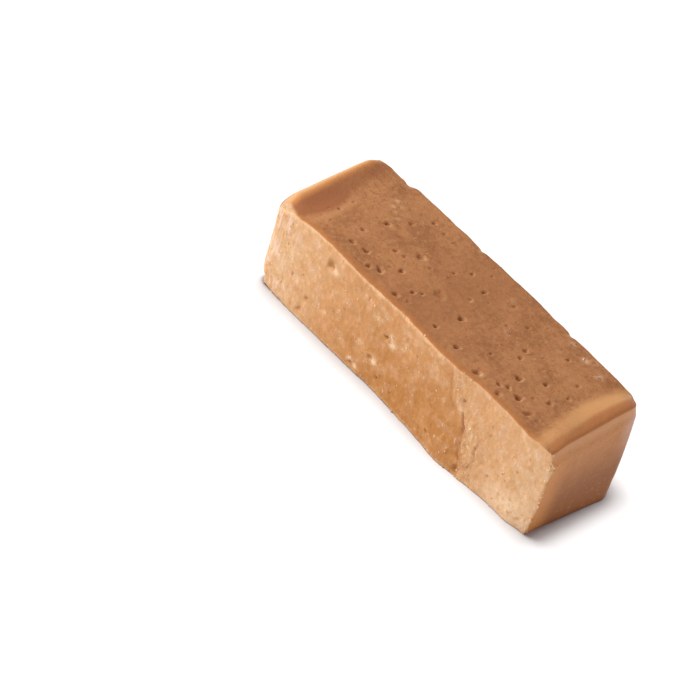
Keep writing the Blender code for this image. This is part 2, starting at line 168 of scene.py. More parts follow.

# Pale spots and painted highlights: (along, across or up, radius, strength)
paleSpotsAndHighlights = {
    "skin": (
        (21.2, 12.0, 0.8, 0.8), (25.9, 11.2, 0.9, 0.9), (30.6, 10.4, 0.9, 1.0), (27.6, 12.6, 0.5, 0.5),
        (-28.9, 7.1, 0.5, 0.9), (-28.0, 5.4, 0.5, 0.8), (-27.2, 6.4, 0.35, 0.7), (-24.9, 3.5, 0.5, 0.6),
        (-26.6, 4.6, 0.4, 0.6), (5.4, 8.7, 0.8, 0.35), (11.4, 2.2, 0.8, 0.35), (-8.9, 13.6, 0.7, 0.9),
        (19.0, 13.9, 0.7, 0.8), (-31.0, 13.4, 0.7, 0.8), (1.2, 1.0, 0.4, 0.7), (17.9, -11.8, 0.5, 1.0),
        (-13.0, 0.4, 0.4, 0.6), (37.6, 12.7, 0.6, 1.0),
    ),
    "cut": (
        (-22.4, 18.6, 0.75, 1.0), (-22.6, 19.6, 0.5, 0.8), (-3.7, 15.9, 0.7, 0.8), (-3.3, 14.0, 0.95, 1.0),
        (0.7, 17.2, 0.8, 0.7), (-6.4, 6.8, 1.0, 0.9), (-12.3, 2.4, 0.8, 0.8), (-10.4, 1.8, 0.7, 0.8),
        (-11.5, 19.8, 0.5, 0.6), (-8.8, 17.3, 1.0, 0.5), (-11.1, 8.3, 0.7, 0.5), (-21.8, 7.3, 0.6, 0.5),
        (18.2, 15.2, 0.8, 0.5), (33.5, 3.0, 4.5, 0.45), (38.5, 4.0, 4.0, 0.35),
    ),
}

# The two cut sides: swelling at the foot, sway of the top edge, crease, pits and crumbliness
cut = {
    "swell": (0.35, 0.75, -5.0, 15.0),  # (everywhere, how much more, from x on, length)
    "swellPower": 1.5,
    "bulge": 1.4,
    "bulgeX": 17.5,
    "bulgeHalf": 6.5,
    "backBelly": 0.7,
    "sway": 0.5,
    "swayLength": 30.0,
    "swayX": 8.0,
    "swayStart": (-10.0, 12.0),
    "waves": ((9.0, 0.16), (3.4, 0.15), (1.5, 0.08)),
    "streaks": ((1.1, 0.045), (0.6, 0.03)),
    "streakStretch": 0.5,
    "creaseLines": (  # (strength, corners)
        (0.35, ((13.3, 22.0), (14.8, 16.5), (16.4, 13.6))),
        (1.0, ((19.0, 14.6), (20.7, 12.0), (20.9, 8.9), (21.7, 5.9), (22.5, 1.2))),
        (0.7, ((25.3, 10.8), (25.0, 7.3), (24.5, 3.2))),
    ),
    "creaseDepth": 0.35,
    "creaseHalf": 0.3,
    "creaseBreaks": (0.9, 2.4),  # length of its gaps along the bar and upwards
    "creaseKept": 0.45,  # this much of it stays in its gaps
    "creaseGaps": (-0.45, 0.5),
    "creaseWander": 0.6,
    "wanderLength": 1.8,
    "ridgeFoot": (22.4, 21.7, 20.9, 20.4, 17.6, 14.8, 13.3),  # where the rough zone starts
    "ridgeLevel": (1.5, 5.9, 8.9, 12.0, 14.2, 16.5, 21.8),  # at these heights
    "roughZone": ((-0.2, 1.0), (2.5, 5.0)),
    "calmAbove": (11.5, 4.0, 0.6),  # (height, length, share): the zone grows fainter by so much there
    "ridgeWander": 0.9,
    "ridgeLift": 0.2,
    "ridgeRough": ((1.9, 0.12), (0.8, 0.08)),
    "ridgeStretch": 0.4,
    "frontPits": (
        (-24.0, 19.0, 2.6, 1.2, 70, 0.5), (-5.3, 14.6, 1.2, 1.3, 40, 0.8), (-7.6, 7.0, 1.3, 1.3, 40, 0.6),
        (-11.9, 1.7, 1.0, 1.6, 10, 0.8), (-4.4, 3.6, 0.9, 1.2, 60, 0.8), (0.2, 3.4, 0.7, 1.2, 0, 0.7),
        (12.3, 3.7, 1.0, 1.2, 0, 0.8), (18.4, 17.6, 1.0, 1.3, 0, 0.7), (29.5, 6.0, 0.7, 1.6, 80, 0.6),
        (-32.9, 9.0, 0.6, 2.6, 85, 0.7), (-27.6, 6.5, 0.9, 1.8, 60, 0.5), (-12.2, 19.9, 0.6, 2.6, 80, 0.6),
        (-28.7, 2.4, 1.6, 1.4, 50, 0.4), (4.0, 17.5, 0.6, 1.8, 80, 0.5), (35.5, 13.0, 0.6, 1.4, 60, 0.5),
        (-36.5, 4.5, 1.4, 1.8, 70, 0.3), (-17.2, 12.4, 0.6, 1.6, 75, 0.5), (26.8, 15.2, 0.6, 1.5, 80, 0.5),
    ),
    "backPits": (
        (-12.0, 16.0, 1.4, 1.2, 20, 0.9), (6.0, 7.5, 1.2, 1.4, 70, 0.9), (24.0, 14.0, 1.4, 1.1, 0, 0.9),
        (-28.0, 6.0, 0.9, 1.3, 50, 0.8), (15.0, 19.0, 0.9, 1.5, 80, 0.8), (33.0, 5.0, 1.0, 1.2, 0, 0.8),
    ),
    "pitDepth": 0.5,
    "edgeChips": ((-31.5, 1.2, 0.7), (-8.9, 0.7, 0.35), (19.0, 0.8, 0.4)),  # (along, half, depth)
    "chipUp": (0.8, 0.17),
    "ragged": 0.42,
    "raggedLength": 1.0,
    "raggedHalf": 0.8,
    "raggedOnEnd": 0.5,
    "topEdgeRough": ((2.4, 0.18), (1.0, 0.12)),
    "topEdgeHalf": 0.9,
    "topEdgeLift": 0.6,
    "edgeWander": ((1.5, 0.5), (0.7, 0.25)),  # how much the pale line along that edge changes its width
}

# Loose crumbs that stick to the cut faces and their edges
crumbs = {
    "count": 380,
    "radius": (0.11, 0.34),
    "mostlySmall": 2.5,
    "wobble": 0.22,
    "flatten": ((0.6, 0.9), (0.4, 0.7)),
    "outward": 0.0,  # how far its middle stands out of the face, in radii
    "seed": 5,
    "edgeHalf": 0.5,
    "edgeClumps": (1.6, -0.3, 0.6),  # (length of the clumps along the upright edge, fade of their field)
    "footHalf": 0.8,
    "chances": {  # where they stick, for a cut side as a whole and for its parts
        "front": 0.02,
        "back": 0.03,
        "crumbly": 0.5,
        "pale": 0.05,
        "foot": 0.25,
        "spot": 0.25,
        "edge": 2.25,
        "edgeOnFront": 6.3,
    },
    "dark": (0.60, 0.32, 0.14),
    "pale": (0.86, 0.62, 0.38),
    "rough": 0.6,
}

# Where the finish changes: mostly (start, length) of a change, in millimetres from an end or an edge.
# Shares of the height run from 0 at the foot to 1 at the top.
bands = {
    "skinEdge": 0.12,  # the skin turns over the edge by this much
    "skinOverEnd": 0.7,
    "cutWrapFade": (-0.18, 0.6),
    "cutPit": 1.7,  # painted shade in the pits shows more on the cut sides, and the painted highlight on their rims less
    "cutPitRim": 0.6,
    "lipEdge": (3.3, 1.15, -8.0, 10.0),  # lip's outer side: (width, how much more, from y on, length)
    # the near lip's pale inner side, with painted sheen
    "lipPale": (0.4, 3.0),
    "lipPaleRise": 1.4,
    "lipPaleMiddle": 1.8,  # it reaches further in at the middle
    "lipPaleFront": (0.62, -10.0, 18.0),  # and is this faint at the front
    # painted warm shade on the near lip's outer side
    "lipWarm": (0.2, 2.0),
    "lipWarmFront": (0.2, 1.2),
    # painted sheen under the near lip, on the end
    "lipCool": ((-0.2, 0.5), (0.4, 2.8)),
    "backSheen": ((3.6, 4.4), (0.4, 0.5)),
    # far lip: painted highlight on the rim and the ridge, painted shade in the band inside the rim
    "farRim": (1.0, 2.0),
    "farRidgeHalf": 1.2,
    "farRidgeFront": (-3.0, 8.0),
    "farCut": (-40.0, 9.0),
    "farBand": ((1.1, 0.9), (2.4, 1.4)),
    "farShade": ((2.2, 1.4), 1.8),
    "farShadeBack": (0.6, -4.0, 6.0),  # faint share at the back
    # painted glow along the front top edge
    "edgeBand": (0.4, 1.6),
    "edgeBandNear": (3.0, 3.0),
    # pale line with a painted highlight along the top edge of the cut
    "edgeLine": (0.45, 0.8),
    "edgeLineFar": (0.3, 4.0, 12.0),
    "nearStrip": (1.5, 6.5),
    # painted floor reflection along the front foot
    "foot": (0.2, 1.1),
    "midShade": (-1.5, 9.0),
    "paleFar": (-41.0, 22.0),
    "pastCrease": (1.8, 4.0),  # length of the change past the crease: at the foot, and more above
    "paleNear": (24.0, 17.0),
    "paleNearLeast": 0.15,
    "paleUp": 0.6,
    "golden": (-34.0, 34.0),
    "goldenUp": (0.2, 1.15),
    "backPale": (8.0, 24.0),  # the back cut side has no crease, so its colour changes slowly
}

# One number for each random field
seeds = {
    "skinWaves": 3,
    "wander": 21,
    "creaseGaps": 23,
    "frontWaves": 31,
    "streaks": 37,
    "ridge": 41,
    "backWaves": 51,
    "upright": 61,
    "topEdge": 71,
    "edgeLine": 81,
    "clumps": 85,
}


def ease(value):
    value = np.clip(value, 0.0, 1.0)
    return value * value * (3.0 - 2.0 * value)


# from 0 to 1 over a length that begins at start, and from 1 to 0
def rise(value, start, length):
    return ease((value - start) / length)


def fade(value, start, length):
    return 1.0 - rise(value, start, length)


# a bell of height 1
def hump(value, middle, half):
    return np.exp(-(((value - middle) / half) ** 2))


# smooth random field from -1 to 1; size is the length of its features along each axis
def field(points, size, seed):
    side = 32  # it repeats after this many features
    table = np.random.default_rng(seed).uniform(-1.0, 1.0, (side, side, side))
    spot = points / np.asarray(size) + 16.0 * side
    base = np.floor(spot).astype(int)
    share = ease(spot - base)
    total = np.zeros(len(points))
    for step in itertools.product((0, 1), repeat=3):
        weight = np.prod(np.where(step, share, 1.0 - share), axis=1)
        cell = (base + step) % side
        total += weight * table[cell[:, 0], cell[:, 1], cell[:, 2]]
    return total


def waves(points, layers, seed):
    return sum(high * field(points, length, seed + number) for number, (length, high) in enumerate(layers))


# closed shell of quads over a box; returns lattice places from 0 to 1 and the quads
def latticeShell(cells):
    quads = []
    for axis in range(3):
        u, v = (axis + 1) % 3, (axis + 2) % 3
        first, second = np.meshgrid(np.arange(cells[u]), np.arange(cells[v]), indexing="ij")
        for side in (0, cells[axis]):
            quad = np.full((first.size, 4, 3), side)
            for corner, (stepU, stepV) in enumerate(((0, 0), (1, 0), (1, 1), (0, 1))):
                quad[:, corner, u] = first.ravel() + stepU
                quad[:, corner, v] = second.ravel() + stepV
            quads.append(quad if side else quad[:, ::-1])
    places, index = np.unique(np.concatenate(quads).reshape(-1, 3), axis=0, return_inverse=True)
    return places / np.array(cells, float), index.reshape(-1, 4)


# distances of box points under the six faces, with the twelve edges rounded
def roundedDepths(place):
    x, y, z = (place * (bar["length"], bar["width"], bar["backHeight"])).T
    depth = {
        "far": x,
        "near": bar["length"] - x,
        "front": y,
        "back": bar["width"] - y,
        "foot": z,
        "top": bar["backHeight"] - z,
    }
    for (first, second), radius in bar["radius"].items():
        if (first, second) == ("near", "back"):
            radius = radius + (bar["nearBackFootRadius"] - radius) * (1.0 - z / bar["backHeight"]) ** 2
        a, b = depth[first], depth[second]
        inside = (a < radius) & (b < radius)
        reachA, reachB = np.where(inside, radius - a, 1.0), np.where(inside, radius - b, 1.0)
        scale = np.maximum(reachA, reachB) / np.hypot(reachA, reachB)
        depth[first] = np.where(inside, radius - reachA * scale, a)
        depth[second] = np.where(inside, radius - reachB * scale, b)
    return depth


# box points carried into the tapered bar between its eight corners
def intoBar(place):
    points = np.zeros_like(place)
    for key, (fromEnd, fromSide) in bar["cornerInset"].items():
        x = (bar["length"] / 2 - fromEnd) * (1 if key[0] else -1)
        y = (bar["width"] / 2 - fromSide) * (1 if key[1] else -1)
        z = key[2] * bar["backHeight" if key[1] else "frontHeight"]
        weight = np.prod(np.where(key, place, 1.0 - place), axis=1)
        points += weight[:, None] * np.array((x, y, z))
    return points


# height of a lip at a distance from its end
def lip(shape, gap, across):
    flank = shape["flank"] + shape["flankMiddle"] * (1.0 - (2.0 * across / bar["width"]) ** 2)
    fall = (gap - shape["crest"]) / flank
    troughDepth, *troughPlace = skin["lipTrough"]
    trough = troughDepth * hump(fall, *troughPlace)
    outer = shape["outerDrop"] * fade(gap, 0.0, shape["crest"])
    fromFront = ease((bar["width"] / 2 + across) / skin["lipSideFade"])
    fromBack = ease((bar["width"] / 2 - across) / skin["lipSideFade"])
    share = shape["frontShare"] + (1.0 - shape["frontShare"]) * fromFront
    share = share * (shape["backShare"] + (1.0 - shape["backShare"]) * fromBack)
    return shape["height"] * share * (1.0 - ease(fall)) - outer - trough


# how much each pit takes away at (u, v), a mask of its floor for painted shade and one of its far rim for a
# painted highlight;
# reach is 0 in the middle of a pit and 1 on its wavy outline
def pitRelief(u, v, rows, depthRatio):
    relief, floor, lit = np.zeros((3, len(u)))
    slow, quick = pits["wobble"]
    for number, (pitU, pitV, width, longer, turn, share) in enumerate(rows):
        away = np.hypot(u - pitU, v - pitV)
        near = away < width * longer * pits["reach"]
        fromU, fromV = u[near] - pitU, v[near] - pitV
        angle = np.radians(turn)
        along = fromU * np.cos(angle) + fromV * np.sin(angle)
        over = fromV * np.cos(angle) - fromU * np.sin(angle)
        around = np.arctan2(over, along)
        wobble = 1.0 + slow * np.sin(3 * around + number) + quick * np.sin(5 * around + 2 * number)
        reach = np.hypot(along / longer, over) / (0.5 * width * wobble)
        # the painted highlight keeps to each pit's side towards the near end, whose wall faces the lamp
        ahead = np.clip(fromU / np.maximum(away[near], 0.05), 0.0, 1.0)
        shown = min(share, 1.0)
        relief[near] += pits["rim"] * hump(reach, *pits["rimRing"])
        relief[near] -= depthRatio * share * width * fade(reach, *pits["hole"])
        floor[near] = np.maximum(floor[near], fade(reach, *pits["floor"]) * shown)
        lit[near] = np.maximum(lit[near], hump(reach, *pits["litRing"]) * ahead * shown)
    return relief, floor, lit


# draw lattice points together round each pit, so that small pits keep round edges
def gather(u, v, rows, low, high):
    for pitU, pitV, width, *_ in rows:
        room = min(pitV - low, high - pitV) - pits["gatherMargin"]
        zone = min(pits["gatherReach"] * width, room)
        if zone > width * pits["gatherLeast"]:
            pull = 0.5 + 0.5 * ease(np.hypot(u - pitU, v - pitV) / zone)
            u, v = pitU + (u - pitU) * pull, pitV + (v - pitV) * pull
    return u, v


def lineDistance(x, z, corners):
    nearest = np.full(len(x), np.inf)
    for (x0, z0), (x1, z1) in zip(corners, corners[1:]):
        runX, runZ = x1 - x0, z1 - z0
        share = np.clip(((x - x0) * runX + (z - z0) * runZ) / (runX**2 + runZ**2), 0.0, 1.0)
        nearest = np.minimum(nearest, np.hypot(x - x0 - runX * share, z - z0 - runZ * share))
    return nearest


def spotMask(u, v, rows):
    total = sum(
        strong * hump(np.hypot(u - spotU, v - spotV), 0.0, radius) for spotU, spotV, radius, strong in rows
    )
    return np.minimum(total, 1.0)


def smallPits():
    draw = np.random.default_rng(pits["seed"])
    endMargin, sideMargin = pits["smallMargin"]
    reachX, reachY = bar["length"] / 2 - endMargin, bar["width"] / 2 - sideMargin
    rows = []
    while len(rows) < pits["smallCount"]:
        along, across = draw.uniform(-reachX, reachX), draw.uniform(-reachY, reachY)
        width = draw.uniform(*pits["smallWidth"])
        if all(np.hypot(along - pit[0], across - pit[1]) > pits["smallApart"] for pit in pits["noted"]):
            longer, turn = draw.uniform(*pits["smallLonger"]), draw.uniform(0.0, 180.0)
            rows.append((along, across, width, longer, turn, draw.uniform(*pits["smallDepth"])))
    return rows


def meshObject(name, points, faces, marks, material):
    mesh = bpy.data.meshes.new(name)
    mesh.from_pydata((points * mm).tolist(), [], faces.tolist())
    for mark, values in marks.items():
        attribute = mesh.attributes.new(mark, "FLOAT", "POINT")
        attribute.data.foreach_set("value", values.astype(np.float32))
    mesh.polygons.foreach_set("use_smooth", np.full(len(faces), True))
    mesh.materials.append(material)
    mesh.update()
    piece = bpy.data.objects.new(name, mesh)
    bpy.context.scene.collection.objects.link(piece)
    return piece


# the whole bar with its relief, the masks that its finish reads, and the chances of a crumb
def blockForm():
    place, quads = latticeShell(bar["cells"])
    depth = roundedDepths(place)
    sides = np.stack([
        np.where(place[:, 0] > 0.5, bar["length"] - depth["near"], depth["far"]) / bar["length"],
        np.where(place[:, 1] > 0.5, bar["width"] - depth["back"], depth["front"]) / bar["width"],
        np.where(place[:, 2] > 0.5, bar["backHeight"] - depth["top"], depth["foot"]) / bar["backHeight"],
    ], axis=1)
    x, y, z = intoBar(sides).T

    power = bar["reliefPower"]
    onTop = sides[:, 2] ** power["top"]
    onFront = (1.0 - sides[:, 1]) ** power["front"]
    onBack = sides[:, 1] ** power["back"]
    onNear = sides[:, 0] ** power["near"]
    topFace = place[:, 2] == 1.0
    frontFace = place[:, 1] == 0.0
    backFace = place[:, 1] == 1.0
    nearFace = place[:, 0] == 1.0
    allSkinPits = [*pits["noted"], *smallPits()]

    half = bar["width"] / 2
    x, y = np.where(topFace, gather(x, y, pits["noted"], -half + 0.3, half), (x, y))
    x, z = np.where(frontFace, gather(x, z, cut["frontPits"], 0.0, bar["frontHeight"]), (x, z))
    x, z = np.where(backFace, gather(x, z, cut["backPits"], 0.0, bar["backHeight"]), (x, z))
    points = np.stack([x, y, z], axis=1)

    # top skin
    gapNear, gapFar = bar["length"] / 2 - x, bar["length"] / 2 + x
    lips = lip(skin["nearLip"], gapNear, y) + lip(skin["farLip"], gapFar, y)
    skinPit, skinPitFloorShade, skinPitHighlight = pitRelief(x, y, allSkinPits, pits["depth"])
    droop = bar["farDroop"] * hump(gapFar, 0.0, bar["farDroopReach"])
    droop = droop * (1.0 - np.clip((y + half) / bar["farDroopWidth"], 0.0, 1.0))
    liftTop = lips - droop + waves(points, skin["waves"], seeds["skinWaves"]) + skinPit * topFace

    # front cut: swelling, crease, and the rough zone past the crease
    up = np.clip(z / bar["backHeight"], 0.0, 1.0)
    swellAll, swellMore, *swellX = cut["swell"]
    swell = swellAll + swellMore * rise(x, *swellX)
    bulge = cut["bulge"] * hump(x, cut["bulgeX"], cut["bulgeHalf"])
    sway = cut["sway"] * rise(x, *cut["swayStart"])
    sway = sway * np.cos(2.0 * np.pi * (x - cut["swayX"]) / cut["swayLength"])
    wander = cut["creaseWander"] * field(points, cut["wanderLength"], seeds["wander"])
    crease = sum(
        strong * hump(lineDistance(x + wander, z, corners), 0.0, cut["creaseHalf"])
        for strong, corners in cut["creaseLines"]
    )
    gapAlong, gapUp = cut["creaseBreaks"]
    breaks = field(points, (gapAlong, 1.0, gapUp), seeds["creaseGaps"])
    crease = crease * (cut["creaseKept"] + (1.0 - cut["creaseKept"]) * rise(breaks, *cut["creaseGaps"]))
    crease = np.minimum(crease, 1.0)
    pastRidge = x - np.interp(z, cut["ridgeLevel"], cut["ridgeFoot"]) - cut["ridgeWander"] * wander
    upperFrom, upperOver, upperCalm = cut["calmAbove"]
    upper = rise(z, upperFrom, upperOver)
    roughIn, roughOut = cut["roughZone"]
    crumbly = rise(pastRidge, *roughIn) * fade(pastRidge, *roughOut) * (1.0 - upperCalm * upper)
    streaky = waves(points * (1.0, 1.0, cut["streakStretch"]), cut["streaks"], seeds["streaks"])
    grain = waves(points, cut["waves"], seeds["frontWaves"]) + streaky
    ridgeRough = waves(points * (1.0, 1.0, cut["ridgeStretch"]), cut["ridgeRough"], seeds["ridge"])
    lumps = crumbly * (cut["ridgeLift"] + ridgeRough)
    frontPit, frontPitFloorShade, frontPitHighlight = pitRelief(x, z, cut["frontPits"], cut["pitDepth"])
    tuck = bar["nearTuck"][0] + bar["nearTuck"][1] * (1.0 - up) ** 2
    tuck = tuck * fade(up, *bar["nearTuckTop"]) * fade(gapNear, 0.0, bar["nearTuckReach"])
    farTuck = bar["farTuck"] * hump(gapFar, 0.0, bar["farTuckReach"]) * (1.0 - up) ** bar["farTuckPower"]
    outFront = (1.0 - up) ** cut["swellPower"] * (swell + bulge) + up**2 * sway - tuck - farTuck
    outFront = outFront - cut["creaseDepth"] * crease + grain + lumps + frontPit * frontFace

    # back cut
    belly = cut["backBelly"] * np.sin(np.pi * up)
    chip = sum(deep * hump(x, chipX, chipHalf) for chipX, chipHalf, deep in cut["edgeChips"])
    chip = chip * rise(up, *cut["chipUp"])
    backPit, backPitFloorShade, backPitHighlight = pitRelief(x, z, cut["backPits"], cut["pitDepth"])
    swayIn, swayOut = bar["backSwayX"]
    backSway = bar["backSway"] * rise(x, *swayIn) * fade(x, *swayOut) * up**2
    grain = waves(points, cut["waves"], seeds["backWaves"]) + streaky
    outBack = belly + backSway - chip + grain + backPit * backFace

    # near end, which bulges under its lip
    underTop = bar["frontHeight"] + (bar["backHeight"] - bar["frontHeight"]) * sides[:, 1] - z
    outNear = bar["nearBulge"] * np.sin(0.5 * np.pi * np.minimum(up / bar["nearBulgeFull"], 1.0))
    outNear = outNear * (1.0 - bar["nearBulgeBack"] * sides[:, 1]) * ease(underTop / bar["nearShoulder"])

    # ragged upright edge between the front cut and the near end, and the rough top edge
    uprightGap = np.hypot(depth["near"], depth["front"])
    chips = field(points * (0.3, 0.3, 1.0), cut["raggedLength"], seeds["upright"])
    ragged = cut["ragged"] * hump(uprightGap, 0.0, cut["raggedHalf"]) * chips
    topGap = np.hypot(depth["front"], depth["top"])
    topRough = waves(points, cut["topEdgeRough"], seeds["topEdge"])
    topEdge = hump(topGap, 0.0, cut["topEdgeHalf"]) * topRough

    points[:, 2] += onTop * liftTop + cut["topEdgeLift"] * topEdge
    points[:, 1] += onBack * outBack - onFront * outFront + ragged - topEdge
    points[:, 0] += onNear * (outNear + cut["raggedOnEnd"] * ragged)
    points[:, 2] = np.maximum(points[:, 2], 0.0)

    # near lip: its pale inner side with painted sheen, painted warm shade on its outer side, and painted
    # sheen under its edge
    frontGap = depth["front"]
    middle = 1.0 - (2.0 * np.clip(y / bar["width"], -0.5, 0.5)) ** 2
    lipOuter, lipWider, *lipY = bands["lipEdge"]
    lipEdge = lipOuter + lipWider * rise(y, *lipY)
    paleStart, paleLength = bands["lipPale"]
    paleFaint, *paleY = bands["lipPaleFront"]
    lipPale = fade(lipEdge - gapNear, 0.0, bands["lipPaleRise"])
    lipPale = lipPale * fade(gapNear - lipEdge, paleStart + bands["lipPaleMiddle"] * middle, paleLength)
    lipPale = lipPale * (paleFaint + (1.0 - paleFaint) * rise(y, *paleY))
    warmPast, warmLength = bands["lipWarm"]
    lipWarm = rise(lipEdge + warmPast - gapNear, 0.0, warmLength) * rise(frontGap, *bands["lipWarmFront"])
    coolIn, coolOut = bands["lipCool"]
    sheenBack, sheenUp = bands["backSheen"]

    # far lip: painted highlight on its rim, painted shade in the band inside it, and a painted highlight on
    # the ridge past that
    shadeIn, shadeLength = bands["farShade"]
    shadeFaint, *shadeY = bands["farShadeBack"]
    shadeEnd = np.interp(y, skin["bandAcross"], skin["shadeEnd"])
    farShade = rise(gapFar, *shadeIn) * fade(gapFar, shadeEnd, shadeLength)
    farShade = farShade * (shadeFaint + (1.0 - shadeFaint) * fade(y, *shadeY))
    ridgeAt = np.interp(y, skin["bandAcross"], skin["ridgeAt"])
    farRidge = hump(gapFar, ridgeAt, bands["farRidgeHalf"]) * fade(y, *bands["farRidgeFront"])
    bandIn, bandOut = bands["farBand"]
    wrapX, wrapSlope = skin["cutWrap"]
    wrap = topFace * rise(wrapSlope * (wrapX - x) - frontGap, *bands["cutWrapFade"])

    # cut sides: golden up to the crease, pale past it
    changeFoot, changeAbove = bands["pastCrease"]
    pastCrease = rise(pastRidge, 0.0, changeFoot + changeAbove * upper)
    pastCrease = np.where(backFace, rise(x, *bands["backPale"]), pastCrease)
    paleNear = bands["paleNearLeast"] + rise(x, *bands["paleNear"]) * (1.0 - bands["paleUp"] * up)
    goldenTop, goldenFall = bands["goldenUp"]
    golden = goldenTop + (1.0 - goldenTop) * ease(goldenFall * (1.0 - up))
    # pale line with a painted highlight along the top edge of the cut
    lineStart, lineLength = bands["edgeLine"]
    lineStart = lineStart + waves(points, cut["edgeWander"], seeds["edgeLine"])
    edgeLine = fade(depth["top"], lineStart, lineLength)
    lineFaint, *lineX = bands["edgeLineFar"]
    stripSlant, stripLength = bands["nearStrip"]
    # painted shade in the pits of the cut sides, and painted highlight on their far rims
    cutPitFloorShade = frontPitFloorShade * frontFace + backPitFloorShade * backFace
    cutPitRim = frontPitHighlight * frontFace + backPitHighlight * backFace

    marks = {
        "cutFace": np.maximum((frontFace | backFace) & (depth["top"] > bands["skinEdge"]), wrap),
        # painted shade in the pits
        "pit": skinPitFloorShade * topFace + np.minimum(bands["cutPit"] * cutPitFloorShade, 1.0),
        # painted highlight on the pits' far rims
        "pitRim": skinPitHighlight * topFace + bands["cutPitRim"] * cutPitRim,
        "crease": crease * frontFace,
        "crumbly": crumbly * frontFace,
        # near lip: pale inner side with painted sheen, painted warm shade on its outer side, painted sheen
        # under its edge and at the back edge
        "lipPale": lipPale * topFace,
        "lipWarm": lipWarm * topFace,
        "lipCool": rise(underTop, *coolIn) * fade(underTop, *coolOut) * nearFace,
        "backSheen": fade(depth["back"], *sheenBack) * rise(up, *sheenUp) * nearFace,
        # far lip: painted highlight on the rim and the ridge, painted shade in the band inside the rim
        "farRim": fade(gapFar, *bands["farRim"]) * (topFace | (underTop < bands["skinOverEnd"])),
        "farRidge": farRidge * topFace,
        "farCut": fade(x, *bands["farCut"]) * frontFace,
        "farBand": rise(gapFar, *bandIn) * fade(gapFar, *bandOut) * topFace,
        "farShade": farShade * topFace,
        # painted glow along the front top edge, and a pale line with a painted highlight under it
        "edgeBand": fade(frontGap, *bands["edgeBand"]) * rise(gapNear, *bands["edgeBandNear"]) * topFace,
        "edgeLine": edgeLine * (lineFaint + (1.0 - lineFaint) * fade(x, *lineX)) * frontFace,
        "nearStrip": fade(frontGap, stripSlant * (1.0 - up), stripLength) * nearFace,
        # painted floor reflection along the front foot
        "foot": fade(z, *bands["foot"]) * frontFace,
        "low": 1.0 - up,
        # pale spots and painted highlights
        "spot": spotMask(x, y, paleSpotsAndHighlights["skin"]) * topFace + spotMask(x, z, paleSpotsAndHighlights["cut"]) * frontFace,
        "pale": np.maximum(fade(x, *bands["paleFar"]), pastCrease * paleNear),
        "golden": rise(x, *bands["golden"]) * (1.0 - pastCrease) * golden,
        "midShade": hump(x, *bands["midShade"]) * topFace,
        "nearEnd": nearFace.astype(float),
    }

    chance = crumbs["chances"]
    clumpLength, *clumpFade = crumbs["edgeClumps"]
    clumps = rise(field(points, clumpLength, seeds["clumps"]), *clumpFade)
    edges = hump(uprightGap, 0.0, crumbs["edgeHalf"]) * clumps
    onCut = chance["front"] + chance["crumbly"] * crumbly + chance["pale"] * marks["pale"]
    onCut = onCut + chance["edgeOnFront"] * edges + chance["foot"] * hump(z, 0.0, crumbs["footHalf"])
    chances = onCut * frontFace + chance["back"] * backFace + chance["edge"] * edges
    return points, quads, marks, chances + chance["spot"] * marks["spot"]


class Wire:
    # one output of a node; arithmetic on it adds Math nodes
    def __init__(self, sheet, socket):
        self.sheet = sheet
        self.socket = socket

    def math(self, operation, first, second):
        return self.sheet.node("ShaderNodeMath", {"operation": operation}, {0: first, 1: second})

    def __add__(self, other):
        return self.math("ADD", self, other)

    def __radd__(self, other):
        return self.math("ADD", other, self)

    def __sub__(self, other):
        return self.math("SUBTRACT", self, other)

    def __rsub__(self, other):
        return self.math("SUBTRACT", other, self)

    def __mul__(self, other):
        return self.math("MULTIPLY", self, other)

    def __rmul__(self, other):
        return self.math("MULTIPLY", other, self)


class Finish:
    # a material; every node in it comes from node()
    def __init__(self, name):
        self.material = bpy.data.materials.new(name)
        self.material.use_nodes = True
        self.tree = self.material.node_tree
        self.tree.nodes.clear()

    def node(self, kind, settings, sockets, output=0):
        made = self.tree.nodes.new(kind)
        for key, value in settings.items():
            setattr(made, key, value)
        for key, value in sockets.items():
            found = made.inputs[key] if isinstance(key, int) else next(
                socket for socket in made.inputs if key in (socket.identifier, socket.name)
            )
            if isinstance(value, Wire):
                self.tree.links.new(value.socket, found)
            elif hasattr(found.default_value, "__len__") and len(found.default_value) == 4:
                found.default_value = (*value, 1.0) if len(value) == 3 else value
            else:
                found.default_value = value
        ends = made.outputs
        return Wire(self, ends[output] if isinstance(output, int) else next(
            socket for socket in ends if output in (socket.identifier, socket.name)
        ))

    def mark(self, name):
        return self.node("ShaderNodeAttribute", {"attribute_name": name}, {}, "Fac")

    def mix(self, mask, first, second, blend="MIX"):
        settings = {"data_type": "RGBA", "blend_type": blend, "clamp_factor": True}
        links = {"Factor_Float": mask, "A_Color": first, "B_Color": second}
        return self.node("ShaderNodeMix", settings, links, "Result_Color")

    # runs from least to most while the value runs from start to end, which may be the lower one
    def step(self, value, start, end, most=1.0, least=0.0):
        links = {"Value": value, "From Min": start, "From Max": end, "To Min": least, "To Max": most}
        return self.node("ShaderNodeMapRange", {"interpolation_type": "SMOOTHSTEP"}, links)

    # random field from 0 to 1 with features about size millimetres long, this tall for their length
    def noise(self, size, detail, rough, tall=1.0, shift=0.0):
        spot = self.node("ShaderNodeTexCoord", {}, {}, "Object")
        scale = (1.0 / mm, 1.0 / mm, tall / mm)
        links = {0: spot, 1: scale, 2: (shift,) * 3}
        where = self.node("ShaderNodeVectorMath", {"operation": "MULTIPLY_ADD"}, links)
        links = {"Vector": where, "Scale": 1.0 / size, "Detail": detail, "Roughness": rough}
        return self.node("ShaderNodeTexNoise", {}, links, "Fac")

    def close(self, shader):
        out = self.tree.nodes.new("ShaderNodeOutputMaterial")
        self.tree.links.new(shader.socket, out.inputs["Surface"])
        return self.material


